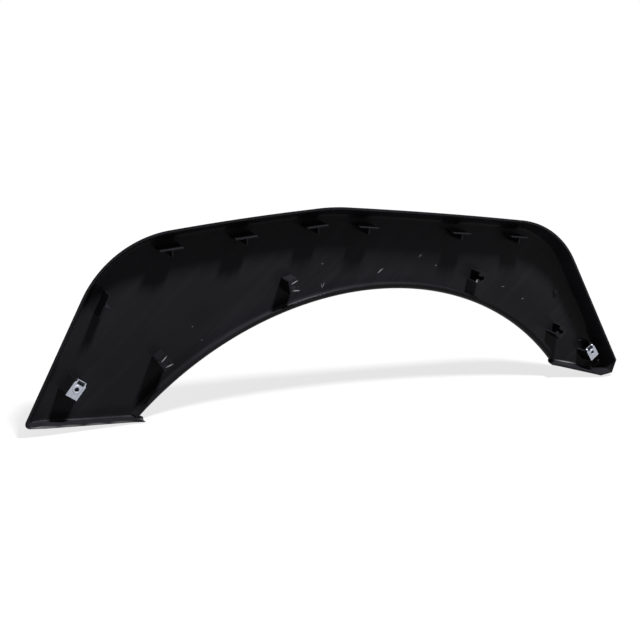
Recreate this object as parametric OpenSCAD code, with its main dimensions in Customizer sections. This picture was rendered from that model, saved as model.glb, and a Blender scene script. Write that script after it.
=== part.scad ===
// Trim for a wheel arch, seen from the side that meets the body of the car.
// It is one moulding with a rolled lip, an edge wall and two feet, and carries two spring nuts.
// The wheel's axis runs along Y, the mating edge lies in a plane across it, and +Z is up.
// The origin is the thread of the spring nut at the broad foot.

/* [Wheel opening] */
// Radius of the wheel opening, to the lowest line of the lip
lip_r = 420; // [410:1:430]
// Outer radius of the rolled lip
lip_roll_r = 8; // [6:0.5:9]
// How far the lip rolls back past its lowest line, in degrees
lip_roll_deg = 55; // [20:5:60]
// Depth of the middle of the lip's roll behind the mating plane
lip_depth = 21; // [20:0.5:24]

// Radius of the wheel opening for which the places below are given; they move out with lip_r
gauge_r = 420; // [410:1:430]

/* [Mating edge] */
// Reach of the broad foot's corner from the wheel's middle
broad_toe_x = 446.4; // [440:0.1:455]
// Height of the broad foot's corner above the wheel's middle
broad_toe_z = 288.2; // [280:0.1:295]
// Radius of the broad foot's corner
broad_toe_r = 6; // [4:0.5:9]
// Reach of the broad shoulder's corner, before it is rounded
broad_shoulder_x = 360.7; // [350:0.1:370]
// Height of the broad shoulder's corner
broad_shoulder_z = 493.7; // [485:0.1:500]
// Radius of the broad shoulder
broad_shoulder_r = 122; // [90:1:135]
// Reach of the crown's corner toward the broad foot
crown_x = 98.9; // [80:0.1:120]
// Height of the crown's corner
crown_z = 528.6; // [522:0.1:535]
// Radius of the crown
crown_r = 260; // [150:5:400]
// Reach of the narrow shoulder's corner, before it is rounded
narrow_shoulder_x = 245.1; // [235:0.1:255]
// Height of the narrow shoulder's corner
narrow_shoulder_z = 506.2; // [500:0.1:512]
// Radius of the narrow shoulder
narrow_shoulder_r = 142; // [100:1:160]
// Reach of the narrow foot's corner
narrow_foot_x = 399.4; // [394:0.1:405]
// Height of the narrow foot's corner
narrow_foot_z = 302.3; // [299:0.1:306]
// Outward swell of the two long top edges, at their middle
edge_swell = 1.2; // [0:0.1:3]

/* [Moulded section] */
// Wall of the moulding
wall = 2.5; // [2:0.1:3]
// Depth of the face behind the mating plane, beside the edge wall
face_depth = 22.5; // [20:0.5:24]
// Slope of the edge wall, in degrees
edge_slope = 24; // [16:1:28]
// Inner radius between the edge wall and the face
root_r = 7; // [4:0.5:9]
// Width of the band beside the lip in which the face swells outward
swell_w = 60; // [50:1:64]

/* [Feet] */
// Inner radius between the face and the foot flanges
foot_r = 2; // [1.5:0.5:6]
// Height of the broad foot's flange at the lip
broad_heel_z = 278.1; // [274:0.1:284]
// Draft of the broad foot's flange, in degrees
broad_foot_slope = -8; // [-10:1:8]
// Depth of the broad flange's edge behind the mating plane, at the lip
broad_flange_dip = 9; // [4:0.5:11]
// Reach of the narrow foot's bevel at its bottom
narrow_toe_x = 395.5; // [392:0.1:398]
// Height of the narrow foot's bevel at its bottom
narrow_toe_z = 282.8; // [282:0.1:286]
// Reach of the lowest point of the narrow foot
narrow_heel_x = 368.7; // [364:0.1:374]
// Height of the lowest point of the narrow foot
narrow_heel_z = 281; // [279:0.1:283]
// Height of the narrow foot's flange at the lip
narrow_end_z = 297; // [292:0.1:300]
// Draft of the narrow foot's flange, in degrees
narrow_foot_slope = 5; // [0:1:10]
// Depth of the narrow flange's edge behind the mating plane, at the lip
narrow_flange_dip = 11; // [4:0.5:11]
// Reach of the broad flange beyond the lip, into the wheel opening
broad_ear = 5; // [0:0.5:10]
// Reach of the narrow flange beyond the lip, into the wheel opening
narrow_ear = 1; // [0:0.5:5]

/* [Locating ribs] */
// Depth of the rib ends behind the mating plane
rib_setback = 4; // [1:0.5:8]
// Length of a rib's bar
rib_bar = 27; // [20:1:32]
// Thickness of a rib
rib_w = 2; // [1.4:0.1:2.8]
// Length of a rib's stem
rib_stem = 7; // [4:0.5:9]
// Distance of the top ribs from the mating edge
rib_inset = 23.5; // [20:0.5:26]
// Distance of the side rib from the mating edge
side_rib_inset = 28; // [24:0.5:32]

/* [Clip seats] */
// Distance of the clip seats from the middle of the lip's roll
clip_rise = 25; // [22:0.5:30]
// Depth of the clip seats' tops behind the mating plane
clip_setback = 5; // [2:0.5:8]
// Width of a clip seat along the arch
clip_w = 13; // [11:0.5:15]
// Length of a clip seat across the arch
clip_l = 16; // [13:0.5:18]
// Diameter of the hole that holds the clip
clip_d = 7; // [6:0.5:8]
// Width of the slot that the clip slides in by
clip_slot = 4.4; // [3.6:0.1:5]

/* [Spring nuts] */
// Reach of the broad foot's nut from the wheel's middle
broad_nut_x = 388.5; // [385:0.1:392]
// Height of the broad foot's nut
broad_nut_z = 326.6; // [323:0.1:330]
// Turn of the broad foot's nut, in degrees
broad_nut_turn = 56; // [50:1:62]
// Reach of the narrow foot's nut from the wheel's middle
narrow_nut_x = 353.4; // [352:0.1:356]
// Height of the narrow foot's nut
narrow_nut_z = 315.6; // [313:0.1:318]
// Turn of the narrow foot's nut, in degrees
narrow_nut_turn = 130; // [124:1:136]
// Width of a spring nut
nut_w = 14.5; // [13:0.5:17]
// Length of a spring nut
nut_l = 21.5; // [20:0.5:24]
// Thickness of its sheet steel
nut_t = 1; // [0.7:0.1:1.1]
// Diameter of its thread
nut_d = 5; // [4:0.1:5.5]
// Length of its threaded collar, with the sheet
nut_collar = 3; // [2:0.1:3.4]
// Thickness of the shelf that a nut is pushed on
shelf = 2.6; // [2:0.1:3.2]
// Clearance between a nut and its shelf, on each side
nut_gap = 0.05; // [0.03:0.01:0.15]
// Depth of the nuts' threads behind the mating plane
nut_setback = 4; // [2:0.5:7]
// Spread of a nut tower from its top to the face, on each side
tower_spread = 3; // [1:0.5:4]

/* [Filling boss] */
// Reach of the boss from the wheel's middle
boss_x = 280; // [276:1:284]
// Height of the boss
boss_z = 404; // [400:1:408]
// Diameter of the boss
boss_d = 6; // [4:0.5:8]
// Height of the boss above the face
boss_h = 2.5; // [1:0.5:4]

/* [Hidden] */
$fn = 48;

black_plastic = [0.14, 0.14, 0.16];
zinc = [0.66, 0.69, 0.76];

// Places of the nuts' threads across the wheel, and the turn of their long sides
broad_nut = nut_place(-broad_nut_x, broad_nut_z, broad_nut_turn);
narrow_nut = nut_place(narrow_nut_x, narrow_nut_z, narrow_nut_turn);
// Distances of the ribs along the mating edge, from the toe, the broad shoulder and the crown
side_ribs = [153];
broad_ribs = [69, 157, 247];
narrow_ribs = [57, 195, 288];
// Angles of the clip seats on both sides of the wheel's top
clip_angles = [17.5, 39.6];
// Boss where the moulding was filled
boss_place = follow([boss_x, boss_z]);

tower_wall = 1.8;
clip_wall = 1.8;
clip_top = 2;
nut_clip = 1.6;
collar_d = nut_d + 2;
collar_gap = 0.8;
fold_r = shelf / 2 + nut_gap + nut_t;
fold_x = nut_l / 2 - fold_r;
inner_w = nut_w - 2 * tower_wall - 1;
inner_end = 3 - nut_l / 2;
slot_run = 2.6;
slot_w = 9;

// A vector at an angle, the unit vector of a vector, and a quarter turn to the left
function at(deg) = [cos(deg), sin(deg)];
function unit(v) = v / norm(v);
function left_of(v) = [-v[1], v[0]];
function mix(a, b, t) = a + (b - a) * t;
// A place given for gauge_r, moved out as far as the lip is
function follow(p) = unit(p) * (norm(p) + lip_r - gauge_r);
function nut_place(x, z, turn) = let(p = follow([x, z])) [p[0], p[1], turn];
function ease(t) = t <= 0 ? 0 : t >= 1 ? 1 : (1 - cos(180 * t)) / 2;

// Corners of the mating edge, from the broad foot over the crown to the narrow foot
corner_broad_toe = follow([-broad_toe_x, broad_toe_z]);
corner_broad = follow([-broad_shoulder_x, broad_shoulder_z]);
corner_crown = follow([-crown_x, crown_z]);
corner_narrow = follow([narrow_shoulder_x, narrow_shoulder_z]);
corner_narrow_foot = follow([narrow_foot_x, narrow_foot_z]);

// A station of the mating edge is [point, inward unit vector]
function straight(a, b, n, swell = 0) = let(inward = -left_of(unit(b - a)))
    [for (i = [0:n - 1]) let(t = i / n) [mix(a, b, t) - inward * swell * 4 * t * (1 - t), inward]];
function turn_of(a, c, b) = acos(unit(c - a) * unit(b - c));
function tangent_len(a, c, b, r) = r * tan(turn_of(a, c, b) / 2);
function bend_start(a, c, b, r) = c - unit(c - a) * tangent_len(a, c, b, r);
function bend_end(a, c, b, r) = c + unit(b - c) * tangent_len(a, c, b, r);
function bend(a, c, b, r, n) = let(
    start = bend_start(a, c, b, r),
    inward = -left_of(unit(c - a)),
    centre = start + inward * r,
    turn = turn_of(a, c, b))
    [for (i = [0:n - 1]) let(t = -turn * i / n,
        out = [-inward[0] * cos(t) + inward[1] * sin(t), -inward[0] * sin(t) - inward[1] * cos(t)])
        [centre + out * r, -out]];

broad_start = bend_start(corner_broad_toe, corner_broad, corner_crown, broad_shoulder_r);
broad_end = bend_end(corner_broad_toe, corner_broad, corner_crown, broad_shoulder_r);
crown_start = bend_start(corner_broad, corner_crown, corner_narrow, crown_r);
crown_end = bend_end(corner_broad, corner_crown, corner_narrow, crown_r);
narrow_start = bend_start(corner_crown, corner_narrow, corner_narrow_foot, narrow_shoulder_r);
narrow_end = bend_end(corner_crown, corner_narrow, corner_narrow_foot, narrow_shoulder_r);
function on_gauge(side, z) = follow([side * sqrt(gauge_r * gauge_r - z * z), z]);
corner_broad_heel = on_gauge(-1, broad_heel_z) + [broad_ear, 0];
side_start = bend_end(corner_broad_heel, corner_broad_toe, corner_broad, broad_toe_r);
narrow_out = left_of(unit(corner_narrow_foot - corner_narrow));

stations = concat(
    straight(side_start, broad_start, 5),
    bend(corner_broad_toe, corner_broad, corner_crown, broad_shoulder_r, 9),
    straight(broad_end, crown_start, 6, edge_swell),
    bend(corner_broad, corner_crown, corner_narrow, crown_r, 3),
    straight(crown_end, narrow_start, 8, edge_swell),
    bend(corner_crown, corner_narrow, corner_narrow_foot, narrow_shoulder_r, 9),
    straight(narrow_end, corner_narrow_foot, 7),
    [[corner_narrow_foot, -narrow_out]]);
last_station = len(stations) - 1;

// Section of a wall that rises from a face: [distance from the face's edge, depth] from rim to face.
// The wall leans by slope, meets the face with radius r, and off is 0 inside and the wall outside.
fillet_steps = 3;
root_row = fillet_steps + 1;
function wall_reach(slope, r, rim, depth) =
    (r + wall) * cos(slope) + tan(slope) * (depth - r + (r + wall) * sin(slope) - rim);
function wall_row(i, slope, r, rim, depth, off) = let(
    rr = r + off,
    centre = depth - r,
    turn = 90 - slope,
    run = centre + rr * sin(slope) - rim)
    i == 0 ? [rr * cos(slope) + tan(slope) * run, rim]
    : let(beta = turn * (root_row - i) / fillet_steps) [rr * sin(beta), centre + rr * cos(beta)];

// Rows of the face and of the lip, as distances from the middle of the roll and angles round it
face_gaps = [swell_w, swell_w * 2 / 3, swell_w / 3];
face_rows = len(face_gaps) + 1;
lip_row = root_row + face_rows + 1;
low_row = lip_row + 5;
last_row = low_row + 3;
roll_mid_r = lip_r + lip_roll_r;
face_rise = lip_depth + lip_roll_r - wall - face_depth;
function face_y(gap) = face_depth + face_rise * ease(1 - gap / swell_w);
function roll_deg(i) = i <= low_row ? 90 * (i - lip_row) / (low_row - lip_row)
    : 90 + lip_roll_deg * (i - low_row) / (last_row - low_row);
function roll_radius(i, off) = roll_mid_r - (lip_roll_r - wall + off) * sin(roll_deg(i));
function roll_y(i, off) = lip_depth + (lip_roll_r - wall + off) * cos(roll_deg(i));

// A foot is [end of its edge by the lip, direction out along it, direction up into the face,
// draft, depth of the edge at the lip, first distance from the lip at which the face has a row, ear]
broad_out = unit(corner_broad_toe - corner_broad_heel);
narrow_heel = follow([narrow_heel_x, narrow_heel_z]);
narrow_toe = follow([narrow_toe_x, narrow_toe_z]);
narrow_tip = on_gauge(1, narrow_end_z) - [narrow_ear, 0];
narrow_edge_out = unit(narrow_heel - narrow_tip);
broad_foot = [corner_broad_heel, broad_out, -left_of(broad_out), broad_foot_slope, broad_flange_dip,
    (norm(corner_broad_toe - corner_broad_heel) + swell_w) / 2 - broad_ear, broad_ear];
narrow_foot = [narrow_tip, narrow_edge_out, left_of(narrow_edge_out), narrow_foot_slope, narrow_flange_dip,
    norm(narrow_heel - narrow_tip) - narrow_ear, narrow_ear];

// Height of the face's edge above the foot's edge, for a rim depth and a depth of the outer skin
function foot_rise(foot, rim, y) = wall_reach(foot[3], foot_r, rim, y - wall);
// Where the line from a along d leaves a circle round the wheel's middle
function leave_circle(a, d, r) = let(m = a * d) a + d * (sqrt(m * m - a * a + r * r) - m);
function foot_gap(foot, i) = i == root_row + 1 ? foot[5] : face_gaps[i - root_row - 2];
function foot_rim(foot, i) = i < lip_row ? foot[4] * (1 - foot_gap(foot, i) / (foot[5] + foot[6])) : foot[4];
function foot_lip(foot, i, off) = let(rise = foot_rise(foot, foot[4], roll_y(min(i, low_row), wall)))
    leave_circle(foot[0] + foot[2] * rise, foot[1], roll_radius(i, off));
function foot_root(foot, i, off) = i >= lip_row ? foot_lip(foot, i, off)
    : let(
        base = foot_lip(foot, lip_row, 0) - foot[2] * foot_rise(foot, foot[4], roll_y(lip_row, wall)),
        gap = foot_gap(foot, i),
        y = face_y(gap) + wall)
        base + foot[1] * gap + foot[2] * foot_rise(foot, foot_rim(foot, i), y);
function skin_y(foot, i, off) = i < lip_row ? face_y(foot_gap(foot, i)) + off : roll_y(i, off);

// Corners of the face's edge, where the edge wall meets each foot
side_dir = unit(corner_broad - corner_broad_toe);
side_in = -left_of(side_dir);
wall_inset = wall_reach(edge_slope, root_r, 0, face_depth);
function cross2(a, b) = a[0] * b[1] - a[1] * b[0];
side_line = side_start + side_in * wall_inset;
foot_line = corner_broad_toe + broad_foot[2] * foot_rise(broad_foot, 0, face_depth + wall);
broad_root = side_line + side_dir * cross2(foot_line - side_line, broad_out) / cross2(side_dir, broad_out);
narrow_root = corner_narrow_foot - narrow_out * wall_inset;
function root_of(j) = j == 0 ? broad_root : stations[j][0] + stations[j][1] * wall_inset;

// Columns run from the broad flange's end round the mating edge to the narrow flange's end
foot_cols = low_row - root_row;
toe_steps = 3;
first_main = foot_cols + toe_steps;
last_main = first_main + last_station;
last_col = last_main + 1 + foot_cols;
toe_bend = bend(corner_broad_heel, corner_broad_toe, corner_broad, broad_toe_r, toe_steps);
rows = last_row + 1;

function polar(p) = atan2(p[1], p[0]);
broad_lip_deg = polar(foot_root(broad_foot, lip_row, 0));
narrow_lip_deg = polar(foot_root(narrow_foot, lip_row, 0));
broad_root_deg = polar(broad_root);
narrow_root_deg = polar(narrow_root);
function lip_deg(j) = mix(broad_lip_deg, narrow_lip_deg,
    (polar(root_of(j)) - broad_root_deg) / (narrow_root_deg - broad_root_deg));

// A point of the wall between the rim point p, with its inward direction, and the face's edge at root.
// It leaves p square to the rim, and bends toward the root where that lies aside, as in the corners.
function wall_point(p, inward, root, slope, r, i, off) = let(
    full = wall_row(0, slope, r, 0, face_depth, wall)[0],
    here = wall_row(i, slope, r, 0, face_depth, off),
    square = p + inward * (full - here[0]),
    place = square + (root - p - inward * full) * max(0, 1 - here[0] / full))
    [place[0], here[1], place[1]];
function foot_wall(foot, q, i, off) = let(
    row = root_row + q,
    root = foot_root(foot, row, off),
    rim = foot_rim(foot, row),
    depth = skin_y(foot, row, off) - off,
    full = wall_row(0, foot[3], foot_r, rim, depth, wall)[0],
    here = wall_row(i, foot[3], foot_r, rim, depth, off),
    reach = foot[6] * max(0, row - lip_row) / (low_row - lip_row),
    place = root - foot[2] * here[0] - foot[1] * reach * min(1, 2 * here[0] / full))
    [place[0], here[1], place[1]];
function edge_wall(c, i, off) = let(j = c - first_main)
    c < foot_cols ? foot_wall(broad_foot, foot_cols - c, i, off)
    : c < first_main ? let(t = (c - foot_cols) / toe_steps)
        wall_point(toe_bend[c - foot_cols][0], toe_bend[c - foot_cols][1], broad_root,
            mix(broad_foot_slope, edge_slope, t), mix(foot_r, root_r, t), i, off)
    : c <= last_main ? wall_point(stations[j][0], stations[j][1], root_of(j), edge_slope, root_r, i, off)
    : c == last_main + 1 ? wall_point(narrow_toe, unit(narrow_root - narrow_toe), narrow_root,
        (edge_slope + narrow_foot_slope) / 2, (root_r + foot_r) / 2, i, off)
    : foot_wall(narrow_foot, c - last_main - 1, i, off);

// A point of the face or the lip in main column j
function main_point(j, i, off) = let(
    root = root_of(j),
    deg = lip_deg(j),
    lip = at(deg) * roll_mid_r,
    span = norm(root - lip),
    gap = i == root_row ? span : i == root_row + 1 ? (span + swell_w) / 2 : face_gaps[i - root_row - 2])
    i < lip_row ? let(p = lip + (root - lip) * gap / span) [p[0], face_y(gap) + off, p[1]]
    : let(p = at(deg) * roll_radius(i, off)) [p[0], roll_y(i, off), p[1]];
function end_point(foot, i, off) = let(p = foot_root(foot, i, off)) [p[0], skin_y(foot, i, off), p[1]];
function skin_point(c, i, off) = i < root_row ? edge_wall(c, i, off)
    : c == first_main && i > root_row ? end_point(broad_foot, i, off)
    : c == last_main && i > root_row ? end_point(narrow_foot, i, off)
    : main_point(min(max(c - first_main, 0), last_station), i, off);

// The feet share the face's points, so their columns point at those of the first and last section
function shared(c, i) = i < root_row || (c >= first_main && c <= last_main) ? c * rows + i
    : c < first_main ? first_main * rows + max(i, root_row + foot_cols - c)
    : last_main * rows + max(i, root_row + c - last_main - 1);
skin_size = (last_col + 1) * rows;
skin_points = [for (off = [0, wall]) for (c = [0:last_col]) for (i = [0:last_row]) skin_point(c, i, off)];
function triangles(a, b, c, d) = concat(
    a == b || b == c || a == c ? [] : [[a, b, c]],
    a == c || c == d || a == d ? [] : [[a, c, d]]);
cells = concat(
    [for (c = [0:last_col - 1]) for (i = [0:last_row - 1])
        each triangles(shared(c, i), shared(c + 1, i), shared(c + 1, i + 1), shared(c, i + 1))],
    [for (c = [0:last_col - 1]) for (i = [0:last_row - 1]) each triangles(
        shared(c, i + 1) + skin_size, shared(c + 1, i + 1) + skin_size,
        shared(c + 1, i) + skin_size, shared(c, i) + skin_size)],
    [for (c = [0:last_col - 1]) each triangles(
        shared(c + 1, 0), shared(c, 0), shared(c, 0) + skin_size, shared(c + 1, 0) + skin_size)],
    [for (c = [0:last_col - 1]) each triangles(
        shared(c, last_row), shared(c + 1, last_row),
        shared(c + 1, last_row) + skin_size, shared(c, last_row) + skin_size)],
    [for (i = [0:last_row - 1]) each triangles(
        shared(0, i), shared(0, i + 1), shared(0, i + 1) + skin_size, shared(0, i) + skin_size)],
    [for (i = [0:last_row - 1]) each triangles(
        shared(last_col, i + 1), shared(last_col, i),
        shared(last_col, i) + skin_size, shared(last_col, i + 1) + skin_size)]);

module shell() {
    polyhedron(points = skin_points, faces = cells, convexity = 8);
}

// Stands its children at depth y with their own +Z toward the mating plane
module stand(p, deg, y) {
    translate([p[0], y, p[1]])
        rotate([90, 0, 0])
            rotate([0, 0, deg])
                children();
}

// Depth at which something that stands on the face ends, inside the wall
function seat_y(gap) = face_y(gap) + wall / 2;

module t_rib() {
    height = seat_y(swell_w) - rib_setback;
    translate([-rib_bar / 2, -rib_w / 2, -height])
        cube([rib_bar, rib_w, height]);
    translate([-rib_w / 2, -rib_stem - rib_w / 2, -height])
        cube([rib_w, rib_stem, height]);
}

// Ribs on a straight edge that starts at corner a, at given distances along it
module rib_row(a, b, distances, inset) {
    d = unit(b - a);
    for (s = distances)
        stand(a + d * s - left_of(d) * inset, polar(d), rib_setback)
            t_rib();
}

module ribs() {
    rib_row(corner_broad_toe, corner_broad, side_ribs, side_rib_inset);
    rib_row(corner_broad, corner_crown, broad_ribs, rib_inset);
    rib_row(corner_crown, corner_narrow, narrow_ribs, rib_inset);
}

// Block that spreads evenly from its top, at local Z 0, to its foot
module spread_block(x0, x1, half_w, height, spread) {
    length = x1 - x0;
    translate([(x0 + x1) / 2, 0, -height])
        linear_extrude(
                height = height, slices = 1, $fn = 0,
                scale = [length / (length + 2 * spread), half_w / (half_w + spread)])
            square([length + 2 * spread, 2 * (half_w + spread)], center = true);
}

// Tower whose shelf takes a spring nut from the open end; its local origin is the nut's thread
module nut_tower(place, gap) {
    height = seat_y(gap) - nut_setback - nut_t - nut_gap;
    stand([place[0], place[1]], place[2], nut_setback)
        translate([0, 0, -nut_t - nut_gap])
            difference() {
                spread_block(-nut_l / 2, fold_x, nut_w / 2, height, tower_spread);
                translate([0, 0, -shelf])
                    spread_block(tower_wall - nut_l / 2, fold_x + 1, nut_w / 2 - tower_wall,
                        height, tower_spread);
                translate([fold_x, -nut_w, -height - 1])
                    cube([nut_w, 2 * nut_w, height + 2]);
                translate([0, 0, -shelf - 1])
                    cylinder(h = shelf + 2, d = collar_d + 2 * collar_gap);
            }
}

// Seat for a push-in clip, with a keyhole that opens toward the crown
module clip_seat(side, angle) {
    height = seat_y(clip_rise) - clip_setback;
    deg = 90 + side * angle;
    stand(at(deg) * (roll_mid_r + clip_rise), deg - 90, clip_setback)
        difference() {
            translate([-clip_w / 2, -clip_l / 2, -height])
                cube([clip_w, clip_l, height]);
            translate([side * clip_wall - clip_w / 2, clip_wall - clip_l / 2, -height - 1])
                cube([clip_w, clip_l - 2 * clip_wall, height + 1 - clip_top]);
            translate([0, 0, -clip_top - 1])
                cylinder(h = clip_top + 2, d = clip_d);
            translate([side < 0 ? -clip_w : 0, -clip_slot / 2, -clip_top - 1])
                cube([clip_w, clip_slot, clip_top + 2]);
        }
}

module gate_boss() {
    stand(boss_place, 0, face_depth - boss_h)
        translate([0, 0, -boss_h - wall / 2])
            cylinder(h = boss_h + wall / 2, d = boss_d);
}

module at_origin() {
    translate([-broad_nut[0], -nut_setback, -broad_nut[1]])
        children();
}

module trim_shell() {
    color(black_plastic)
        at_origin()
            union() {
                shell();
                ribs();
                nut_tower(broad_nut, swell_w);
                nut_tower(narrow_nut, norm([narrow_nut[0], narrow_nut[1]]) - roll_mid_r);
                for (side = [-1, 1])
                    for (angle = clip_angles)
                        clip_seat(side, angle);
                gate_boss();
            }
}

// Sheet-metal nut folded round a shelf: a threaded leaf outside, the fold, and a narrow leaf inside
module spring_nut(place) {
    color(zinc)
        at_origin()
            stand([place[0], place[1]], place[2], nut_setback)
                difference() {
                    union() {
                        translate([0, 0, -nut_t])
                            linear_extrude(nut_t)
                                polygon([
                                    [-nut_l / 2, -nut_w / 2],
                                    [fold_x - nut_clip, -nut_w / 2],
                                    [fold_x, nut_clip - nut_w / 2],
                                    [fold_x, nut_w / 2 - nut_clip],
                                    [fold_x - nut_clip, nut_w / 2],
                                    [-nut_l / 2, nut_w / 2]]);
                        translate([fold_x, 0, -fold_r])
                            rotate([90, 0, 0])
                                rotate([0, 0, -90])
                                    rotate_extrude(angle = 180)
                                        translate([fold_r - nut_t, nut_clip - nut_w / 2])
                                            square([nut_t, nut_w - 2 * nut_clip]);
                        translate([inner_end, -inner_w / 2, -2 * fold_r])
                            cube([fold_x - inner_end, inner_w, nut_t]);
                        translate([0, 0, -nut_collar])
                            cylinder(h = nut_collar - nut_t / 2, d = collar_d);
                    }
                    translate([0, 0, -nut_collar - 1])
                        cylinder(h = nut_collar + 2, d = nut_d);
                    translate([0, 0, -2 * fold_r - 1])
                        cylinder(h = nut_t + 2, d = collar_d + 2 * collar_gap);
                    translate([fold_x - slot_run, -slot_w / 2, -fold_r])
                        cube([slot_run + fold_r, slot_w, fold_r + 1]);
                }
}

module spring_nut_broad_end() {
    spring_nut(broad_nut);
}

module spring_nut_narrow_end() {
    spring_nut(narrow_nut);
}

trim_shell();
spring_nut_broad_end();
spring_nut_narrow_end();
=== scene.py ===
# %% [markdown]
# # A moulded wheel arch trim
# This lesson dresses one car body part: the trim round a wheel opening, seen from the side that meets the
# body. It could be carved by hand from a plate. Here every surface is worked out from the few sizes that
# the moulding's drawing would carry, so its two skins stay parallel and a changed size moves all that hangs
# on it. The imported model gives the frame. Its origin is the thread of the spring nut at the broad foot, +X
# runs toward the narrow foot, +Y from the mating side to the show face, and +Z is up.

# %% The frame
import math
import bpy
import numpy as np
from mathutils import Matrix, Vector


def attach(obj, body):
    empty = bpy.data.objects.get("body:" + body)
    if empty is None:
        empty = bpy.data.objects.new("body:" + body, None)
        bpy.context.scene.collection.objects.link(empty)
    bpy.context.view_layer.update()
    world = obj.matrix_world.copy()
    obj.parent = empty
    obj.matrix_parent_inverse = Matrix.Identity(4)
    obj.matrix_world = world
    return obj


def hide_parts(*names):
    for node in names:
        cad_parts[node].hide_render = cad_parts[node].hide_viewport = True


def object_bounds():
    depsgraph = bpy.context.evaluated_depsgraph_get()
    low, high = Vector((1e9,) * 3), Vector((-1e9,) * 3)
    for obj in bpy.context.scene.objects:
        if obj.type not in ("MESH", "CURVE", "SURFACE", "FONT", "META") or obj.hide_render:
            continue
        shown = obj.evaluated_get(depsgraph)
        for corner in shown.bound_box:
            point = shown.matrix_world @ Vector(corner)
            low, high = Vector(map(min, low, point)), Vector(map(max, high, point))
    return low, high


MM = 0.001
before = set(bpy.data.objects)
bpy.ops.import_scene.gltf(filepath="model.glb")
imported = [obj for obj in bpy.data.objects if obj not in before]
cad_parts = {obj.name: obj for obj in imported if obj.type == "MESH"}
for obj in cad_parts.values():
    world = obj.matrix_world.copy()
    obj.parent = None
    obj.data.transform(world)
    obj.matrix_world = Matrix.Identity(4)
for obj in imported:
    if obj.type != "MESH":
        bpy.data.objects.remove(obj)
cad_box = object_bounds()
print("frame nodes:", sorted(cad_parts))

# %% [markdown]
# ## Driving sizes
# The trim is drawn in millimetres round the wheel's middle, because its lip is a circle there. The thread
# of the broad end's nut then becomes the origin. The mating edge could be a long list of points, but a
# drawing gives its corners and their radii, so those are the sizes here. Its two long runs swell out a
# little. Each foot starts beside the wheel opening at a height of its own, and its ear stands a few
# millimetres into the opening.

# %% Sizes of the outline
THREAD = np.array([-388.5, 4.0, 326.6])
LIP_R = 420.0
BROAD_TOE, BROAD_TOE_R = np.array([-446.4, 288.2]), 6.0
BROAD_SHOULDER, BROAD_SHOULDER_R = np.array([-360.7, 493.7]), 122.0
CROWN, CROWN_R = np.array([-98.9, 528.6]), 260.0
NARROW_SHOULDER, NARROW_SHOULDER_R = np.array([245.1, 506.2]), 142.0
NARROW_FOOT = np.array([399.4, 302.3])
EDGE_SWELL = 1.2
BROAD_HEEL_Z, BROAD_EAR = 278.1, 5.0
NARROW_END_Z, NARROW_EAR = 297.0, 1.0
print("wheel opening:", 2 * LIP_R, "mm across")

# %% [markdown]
# ## The mating edge
# The outline of the moulding is straight runs joined by round corners. A Bezier curve could draw it, but
# its handles would hide the radii. So one function lays points along a run, and another rounds a corner.
# Each point also gets the direction into the part, because the wall under the edge is drawn square to it.

# %% Plane helpers


def unit(v):
    """A vector, or an array of them, divided by its length."""
    return v / np.linalg.norm(v, axis=-1, keepdims=True)


def left(v):
    """A quarter turn to the left: (x, z) becomes (-z, x)."""
    return np.stack([-v[..., 1], v[..., 0]], -1)


def polar(p):
    """Angle of a point round the wheel's middle, in degrees."""
    return np.degrees(np.arctan2(p[..., 1], p[..., 0]))


def at(deg):
    """Unit vector at an angle: (cos, sin)."""
    return np.stack([np.cos(np.radians(deg)), np.sin(np.radians(deg))], -1)


print("a quarter turn to the left takes (1, 0) to", left(np.array([1, 0])))

# %% Runs and corners


def tangent(a, c, b, r):
    """Length cut off each side of corner c by an arc of radius r: r times the tangent of half the turn."""
    turn = math.acos(float(unit(c - a) @ unit(b - c)))
    return r * math.tan(turn / 2), turn


def straight(a, b, n, swell=0.0):
    """n points from a toward b, pushed out by swell * 4t(1 - t), with the inward direction."""
    t = np.arange(n)[:, None] / n
    inward = -left(unit(b - a))
    return a + (b - a) * t - inward * swell * 4 * t * (1 - t), np.repeat(inward[None], n, 0)


def bend(a, c, b, r, n):
    """n points on the arc that rounds corner c: centre + r (cos, sin), which turns to the right."""
    cut, turn = tangent(a, c, b, r)
    inward = -left(unit(c - a))
    start = c - unit(c - a) * cut
    centre = start + inward * r
    deg = polar(-inward) - np.degrees(turn) * np.arange(n) / n
    return centre + at(deg) * r, -at(deg)


shoulder_cut = tangent(BROAD_TOE, BROAD_SHOULDER, CROWN, BROAD_SHOULDER_R)[0]
print("the arc at the broad shoulder takes", round(shoulder_cut, 1), "mm of each run")

# %% The outline
EDGE_STEP = 5.0
broad_heel = np.array([-math.sqrt(LIP_R**2 - BROAD_HEEL_Z**2) + BROAD_EAR, BROAD_HEEL_Z])
narrow_tip = np.array([math.sqrt(LIP_R**2 - NARROW_END_Z**2) - NARROW_EAR, NARROW_END_Z])
side_dir = unit(BROAD_SHOULDER - BROAD_TOE)
side_start = BROAD_TOE + side_dir * tangent(broad_heel, BROAD_TOE, BROAD_SHOULDER, BROAD_TOE_R)[0]
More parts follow.
